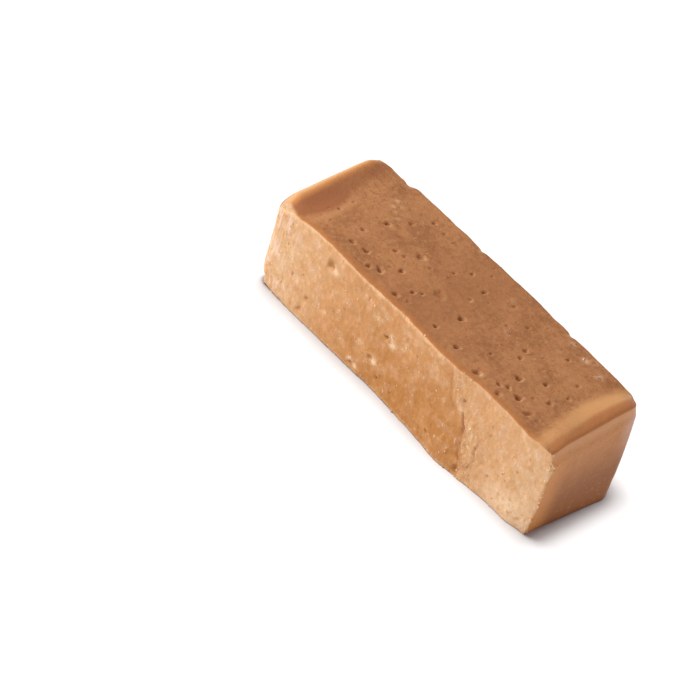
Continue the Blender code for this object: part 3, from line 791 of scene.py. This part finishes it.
nougatLook = {
    "skin": (0.452, 0.197, 0.076),
    "skinDark": (0.345, 0.141, 0.053),
    "skinWarm": (0.50, 0.232, 0.095),
    "skinFleck": (0.24, 0.088, 0.030),
    # near lip: pale inner side with painted sheen, painted warm shade on its outer side, painted sheen
    # under its edge
    "lipPale": (0.61, 0.308, 0.117),
    "lipWarm": (0.47, 0.180, 0.060),
    "lipCool": (0.70, 0.355, 0.172),
    "nearEnd": (0.535, 0.222, 0.071),
    # painted shade towards the near end's foot, also used for its dark flecks
    "nearEndDark": (0.285, 0.098, 0.026),
    "backSheen": (0.63, 0.43, 0.36),
    "nearStrip": (0.64, 0.262, 0.076),
    # painted highlight on the far rim
    "farRim": (0.80, 0.45, 0.20),
    "farBand": (0.54, 0.205, 0.058),
    # painted shade inside the far lip
    "farDark": (0.325, 0.115, 0.044),
    # painted glow along the front top edge
    "edgeBand": (0.45, 0.172, 0.052),
    # pale line with a painted highlight along the top edge of the cut
    "edgeLine": (0.76, 0.470, 0.255),
    # pale spots and painted highlights, on the skin and on the cut
    "spot": (0.70, 0.44, 0.25),
    "cutSpot": (0.86, 0.63, 0.41),
    # painted floor reflection along the foot
    "foot": (0.72, 0.43, 0.24),
    "cut": (0.58, 0.295, 0.124),
    "cutGolden": (0.44, 0.188, 0.053),
    "cutPale": (0.69, 0.445, 0.245),
    "cutPink": (0.68, 0.445, 0.290),
    "speck": (0.84, 0.62, 0.42),
    "farBrush": (0.80, 0.58, 0.43),
    "cutLight": (1.14, 1.20, 1.32),
    "cutDark": (0.80, 0.69, 0.55),
    # painted shade in the pits and in the crease
    "pit": (0.26, 0.072, 0.020),
    "cutPit": (0.40, 0.150, 0.042),
    "amber": (0.56, 0.262, 0.086),
    # painted highlight on the far rim of each pit
    "pitRim": (0.62, 0.350, 0.175),
    "noises": {  # (size in millimetres, detail, roughness, tallness, shift)
        "cloud": (8.0, 3.0, 0.5),
        "mottle": (1.1, 5.0, 0.65, 1.0, 31.0),
        "patch": (2.6, 3.0, 0.6, 1.0, 37.0),
        "tiny": (0.45, 2.0, 0.5, 1.0, 71.0),
        "drift": (4.0, 4.0, 0.6, 1.0, 7.0),
        "streak": (0.9, 4.0, 0.65, 0.55, 3.0),
        "cluster": (3.0, 2.0, 0.5, 1.0, 53.0),
        "blotch": (2.2, 3.0, 0.6, 1.0, 83.0),
        "brush": (0.8, 3.0, 0.6, 0.16, 61.0),
        "crumb": (0.6, 3.0, 0.6, 0.7, 43.0),
        "grain": (0.4, 3.0, 0.6, 1.0, 13.0),
    },
    # Layers, each over the one before: (colour, share, mark it is kept to, noise, from, to, least share).
    # The share grows while the noise runs from one value to the other.
    "skinLayers": (
        ("skinWarm", 0.7, None, "mottle", 0.47, 0.68),
        ("skinFleck", 0.5, None, "mottle", 0.45, 0.32),
        ("skinWarm", 0.35, None, "tiny", 0.60, 0.70),
        ("skinFleck", 0.45, None, "tiny", 0.40, 0.30),
        # painted highlight on the ridge past the far lip
        ("skinWarm", 0.7, "farRidge"),
        ("skinDark", 0.5, "midShade"),
        # painted shade inside the far lip
        ("farDark", 0.9, "farShade"),
        # painted glow along the front top edge
        ("edgeBand", 0.9, "edgeBand", "breaks", 0.25, 0.50, 0.45),
        # the near lip's pale inner side, with painted sheen
        ("lipPale", 0.85, "lipPale"),
    ),
    "endLayers": (
        ("nearEndDark", 0.3, None, "mottle", 0.50, 0.36),
        ("lipCool", 0.2, None, "mottle", 0.52, 0.66),
        ("nearStrip", 0.75, "nearStrip"),
        ("nearEndDark", 0.35, None, "tiny", 0.42, 0.32),
        ("backSheen", 0.55, "backSheen"),
        # painted sheen under the near lip
        ("lipCool", 0.85, "lipCool"),
    ),
    "rimLayers": (
        # painted warm shade on the near lip's outer side
        ("lipWarm", 0.9, "lipWarm"),
        ("farBand", 0.8, "farBand"),
        # painted highlight on the far rim
        ("farRim", 0.85, "farRim"),
        # pale spots and painted highlights
        ("spot", 0.8, "spot", "mottle", 0.36, 0.52),
    ),
    "goldenLayers": (
        ("cutGolden", 1.2, "golden", "drift", 0.32, 0.60, 0.55),
        ("cutPale", 0.95, "pale", "drift", 0.40, 0.65, 0.55),
    ),
    "cutLayers": (
        ("amber", 0.6, "pale", "blotch", 0.50, 0.64),
        ("cutPale", 0.45, "crumbly", "streak", 0.42, 0.60),
        ("cutLight", 1.0, None, "streak", 0.50, 0.68, 0.0, "MULTIPLY"),
        ("cutDark", 0.6, None, "streak", 0.46, 0.28, 0.0, "MULTIPLY"),
        ("farBrush", 0.7, "farCut", "brush", 0.50, 0.62),
    ),
    "cutEdgeLayers": (
        # pale line with a painted highlight along the top edge of the cut
        ("edgeLine", 0.95, "edgeLine", "crumb", 0.35, 0.60, 0.25),
        # painted floor reflection along the foot
        ("foot", 0.6, "foot", "crumb", 0.30, 0.60),
        # pale spots and painted highlights
        ("cutSpot", 1.0, "spot", "mottle", 0.36, 0.52),
    ),
    "lastLayers": (
        # painted highlight on the pits' far rims
        ("pitRim", 0.6, "pitRim"),
        # painted shade in the crease
        ("pit", 0.55, "crease"),
    ),
    "breaksBend": 0.6,  # the breaks are the patches, bent so far by the mottling
    "skinCloud": (0.32, 0.68, 0.4),  # (from, to, how far the patches bend it)
    "endShade": (0.10, 0.72, 0.25, 0.2),  # painted shade towards the foot: (from, to, and bent by patches and mottling)
    "pink": (0.47, 0.64),
    "pinkShare": (0.30, 0.25, 0.22),  # (everywhere, more where pale, less towards the foot)
    "specks": (0.60, 0.70),
    "speckClusters": (0.46, 0.62),
    "speckShare": (0.5, 0.3),  # (in clusters, in the rough zone)
    "pitShare": (0.75, 0.60),  # painted shade in the pits: (on the skin, on the cut sides)
    "skinRough": 0.5,
    "cutRough": 0.65,
    "roughMottle": 0.15,
    "cutBump": (0.10, 0.16),  # millimetres, of grain and streaks
    "cutEdgeCalm": 0.7,
    "skinBump": (0.10, 0.12),  # of grain and mottling
    "ior": 1.45,
    "specular": 0.15,
    "subsurface": 0.18,
    "subsurfaceRadius": (1.0, 0.42, 0.18),
    "subsurfaceScale": 0.0009,
    "sheen": 0.03,
    "sheenRough": 0.3,
    "sheenTint": (0.95, 0.90, 1.0),
}


def nougatFinish():
    look = nougatLook
    sheet = Finish("nougatSurface")
    noises = {name: sheet.noise(*row) for name, row in look["noises"].items()}
    cutFace, low, pale = sheet.mark("cutFace"), sheet.mark("low"), sheet.mark("pale")
    patchBend, mottleBend = noises["patch"] - 0.5, noises["mottle"] - 0.5
    noises["breaks"] = noises["patch"] + mottleBend * look["breaksBend"]

    def layer(under, name, share, mark=None, noise=None, start=0.0, end=1.0, least=0.0, blend="MIX"):
        mask = sheet.step(noises[noise], start, end, share, least) if noise else share
        mask = sheet.mark(mark) * mask if mark else mask
        return sheet.mix(mask, under, look[name], blend)

    def layered(colour, rows):
        for row in rows:
            colour = layer(colour, *row)
        return colour

    # top skin, with its bands along the ends and the front edge, mostly painted sheen, shade, glow and
    # highlights
    start, end, bend = look["skinCloud"]
    cloud = sheet.step(noises["cloud"] + patchBend * bend, start, end)
    skinColour = layered(sheet.mix(cloud, look["skinDark"], look["skin"]), look["skinLayers"])

    # near end under its lip, with painted shade darker towards the foot
    start, end, bend, bendMore = look["endShade"]
    endShade = sheet.step(low + patchBend * bend + mottleBend * bendMore, start, end)
    endColour = layered(sheet.mix(endShade, look["nearEnd"], look["nearEndDark"]), look["endLayers"])
    # painted warm shade on the near lip's outer side, painted highlight on the far rim, pale spots and
    # painted highlights
    skinColour = layered(sheet.mix(sheet.mark("nearEnd"), skinColour, endColour), look["rimLayers"])

    # cut sides: golden in the middle of the bar, paler towards both ends, with pink clusters and specks
    cutColour = layered(look["cut"], look["goldenLayers"])
    share, morePale, lessLow = look["pinkShare"]
    pink = sheet.step(noises["cluster"], *look["pink"]) * (share + pale * morePale - low * lessLow)
    cutColour = layered(sheet.mix(pink, cutColour, look["cutPink"]), look["cutLayers"])
    inClusters, inRough = look["speckShare"]
    speckShare = sheet.step(noises["cluster"], *look["speckClusters"]) * inClusters
    speckShare = speckShare + sheet.mark("crumbly") * inRough
    specks = sheet.step(noises["crumb"], *look["specks"]) * speckShare
    # pale line with a painted highlight along the top edge, painted floor reflection along the foot, pale
    # spots and painted highlights
    cutColour = layered(sheet.mix(specks, cutColour, look["speck"]), look["cutEdgeLayers"])

    # both together, with painted shade in their pits and crease and a painted highlight on each pit's far
    # rim
    onSkin, onCut = look["pitShare"]
    pitShare = sheet.mark("pit") * (onSkin - cutFace * (onSkin - onCut))
    pitShadeColour = sheet.mix(cutFace, look["pit"], look["cutPit"])
    colour = sheet.mix(pitShare, sheet.mix(cutFace, skinColour, cutColour), pitShadeColour)
    colour = layered(colour, look["lastLayers"])

    rough = look["skinRough"] + cutFace * (look["cutRough"] - look["skinRough"])
    rough = rough + mottleBend * look["roughMottle"]
    cutGrain, cutStreak = look["cutBump"]
    skinGrain, skinMottle = look["skinBump"]
    calm = 1.0 - sheet.mark("edgeLine") * look["cutEdgeCalm"]
    cutHeight = calm * (noises["grain"] * cutGrain + noises["streak"] * cutStreak)
    skinHeight = noises["grain"] * skinGrain + noises["mottle"] * skinMottle
    height = cutFace * cutHeight + (1.0 - cutFace) * skinHeight
    bump = sheet.node("ShaderNodeBump", {}, {"Strength": 1.0, "Distance": mm, "Height": height})

    shader = sheet.node("ShaderNodeBsdfPrincipled", {}, {
        "Base Color": colour,
        "Roughness": rough,
        "Normal": bump,
        "IOR": look["ior"],
        "Specular IOR Level": look["specular"],
        "Subsurface Weight": look["subsurface"],
        "Subsurface Radius": look["subsurfaceRadius"],
        "Subsurface Scale": look["subsurfaceScale"],
        "Sheen Weight": look["sheen"],
        "Sheen Roughness": look["sheenRough"],
        "Sheen Tint": look["sheenTint"],
    })
    return sheet.close(shader)


def crumbFinish():
    sheet = Finish("crumbSurface")
    shade = sheet.mix(sheet.mark("shade"), crumbs["dark"], crumbs["pale"])
    shader = sheet.node("ShaderNodeBsdfPrincipled", {}, {
        "Base Color": shade,
        "Roughness": crumbs["rough"],
        "IOR": nougatLook["ior"],
        "Specular IOR Level": nougatLook["specular"],
    })
    return sheet.close(shader)


# irregular lumps, each sunk part of the way into the bar where the chances are high
def crumbForm(block, chances):
    draw = np.random.default_rng(crumbs["seed"])
    ball = bmesh.new()
    bmesh.ops.create_icosphere(ball, subdivisions=2, radius=1.0)
    unit = np.array([corner.co for corner in ball.verts])
    shell = np.array([[corner.index for corner in face.verts] for face in ball.faces])
    ball.free()
    chosen = draw.choice(len(chances), crumbs["count"], replace=False, p=chances / chances.sum())
    points, faces, shades = [], [], []
    for number, index in enumerate(chosen.tolist()):
        root = block.data.vertices[index]
        smallest, largest = crumbs["radius"]
        radius = smallest + (largest - smallest) * draw.random() ** crumbs["mostlySmall"]
        turn = np.linalg.qr(draw.normal(size=(3, 3)))[0]
        lump = unit * (1.0 + draw.uniform(-crumbs["wobble"], crumbs["wobble"], (len(unit), 1)))
        lump = (lump * (1.0, *(draw.uniform(*side) for side in crumbs["flatten"]))) @ turn * radius
        points.append(np.array(root.co) / mm + np.array(root.normal) * radius * crumbs["outward"] + lump)
        faces.append(shell + number * len(unit))
        shades.append(np.full(len(unit), draw.random()))
    points = np.concatenate(points)
    points[:, 2] = np.maximum(points[:, 2], 0.02)
    return points, np.concatenate(faces), {"shade": np.concatenate(shades)}


points, quads, marks, chances = blockForm()
block = meshObject("nougat_bar", points, quads, marks, nougatFinish())
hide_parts("nougat_block")
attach(block, "root")
print("bar made:", len(quads) * 2, "triangles")

lumps, lumpFaces, lumpMarks = crumbForm(block, chances)
looseCrumbs = meshObject("cut_crumbs", lumps, lumpFaces, lumpMarks, crumbFinish())
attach(looseCrumbs, "root")
print("crumbs made:", crumbs["count"])

# Floor, light and camera
studio = {
    "floorSize": 3.0,
    "floorColour": (0.40, 0.335, 0.318),
    "floorRough": 0.9,
    "skyColour": (0.96, 0.94, 1.0),
    "skyStrength": 0.55,
    "keyFrom": (-0.66, -0.55, 0.51),
    "keyDistance": 0.6,
    "keySize": 0.3,
    "keyPower": 2.6,
    "topFrom": (-0.3, -0.1, 0.95),
    "topDistance": 0.7,
    "topSize": 0.5,
    "topPower": 1.0,
    "floorLight": ((4.3, (-0.08, 0.03, 1.0)), (4.8, (-0.17, -0.14, 1.0))),  # (strength, from)
    "floorLightColour": (0.80, 0.955, 1.0),
    "floorLightAngle": 14.0,
}


def studioFloor():
    sheet = Finish("paleFloor")
    values = {"Base Color": studio["floorColour"], "Roughness": studio["floorRough"]}
    shader = sheet.node("ShaderNodeBsdfPrincipled", {}, values)
    half = studio["floorSize"] / 2 / mm
    corners = np.array(((-half, -half, 0.0), (half, -half, 0.0), (half, half, 0.0), (-half, half, 0.0)))
    floor = meshObject("floor", corners, np.array(((0, 1, 2, 3),)), {}, sheet.close(shader))
    return floor


# even light from above that whitens the floor
def floorLight(strength, towards):
    lamp = bpy.data.lights.new("floorWash", "SUN")
    lamp.energy = strength
    lamp.color = studio["floorLightColour"]
    lamp.angle = np.radians(studio["floorLightAngle"])
    light = bpy.data.objects.new("floorWash", lamp)
    light.rotation_euler = Vector(towards).to_track_quat("Z", "Y").to_euler()
    bpy.context.scene.collection.objects.link(light)
    return light


def softLight(name, towards, distance, size, power):
    lamp = bpy.data.lights.new(name, "AREA")
    lamp.shape = "DISK"
    lamp.size = size
    lamp.energy = power
    light = bpy.data.objects.new(name, lamp)
    away = Vector(towards).normalized()
    light.location = away * distance
    light.rotation_euler = away.to_track_quat("Z", "Y").to_euler()
    bpy.context.scene.collection.objects.link(light)
    return light


def studioSky():
    world = bpy.data.worlds.new("sky")
    world.use_nodes = True
    background = world.node_tree.nodes["Background"]
    background.inputs["Color"].default_value = (*studio["skyColour"], 1.0)
    background.inputs["Strength"].default_value = studio["skyStrength"]
    bpy.context.scene.world = world


# The camera of the photograph, in the bar's own frame (millimetres)
view = {
    "place": (350.6, -542.86, 552.0),
    "forward": (-0.4306, 0.6273, -0.6489),
    "up": (-0.6305, 0.3054, 0.7136),
    "focalPixels": 4074.0,
    "framePixels": 700.0,
    "sensor": 36.0,
}


def photoCamera():
    forward = Vector(view["forward"]).normalized()
    right = forward.cross(Vector(view["up"])).normalized()
    up = right.cross(forward)
    data = bpy.data.cameras.new("camera")
    data.sensor_width = view["sensor"]
    data.lens = view["focalPixels"] * view["sensor"] / view["framePixels"]
    data.clip_start = 0.05
    data.clip_end = 20.0
    camera = bpy.data.objects.new("camera", data)
    turn = Matrix((right, up, -forward)).transposed().to_4x4()
    camera.matrix_world = Matrix.Translation(Vector(view["place"]) * mm) @ turn
    bpy.context.scene.collection.objects.link(camera)
    bpy.context.scene.camera = camera


# light only these pieces with the lamp
def lightOnly(light, pieces):
    group = bpy.data.collections.new(light.name + "Only")
    for piece in pieces:
        group.objects.link(piece)
    light.light_linking.receiver_collection = group


floor = studioFloor()
studioSky()
key = softLight("key", studio["keyFrom"], studio["keyDistance"], studio["keySize"], studio["keyPower"])
lightOnly(key, [block, looseCrumbs])
top = softLight("overhead", studio["topFrom"], studio["topDistance"], studio["topSize"], studio["topPower"])
lightOnly(top, [block, looseCrumbs])
for strength, towards in studio["floorLight"]:
    lightOnly(floorLight(strength, towards), [floor])
photoCamera()
bpy.context.scene.view_settings.view_transform = "Standard"
print("studio made")

bpy.context.view_layer.update()
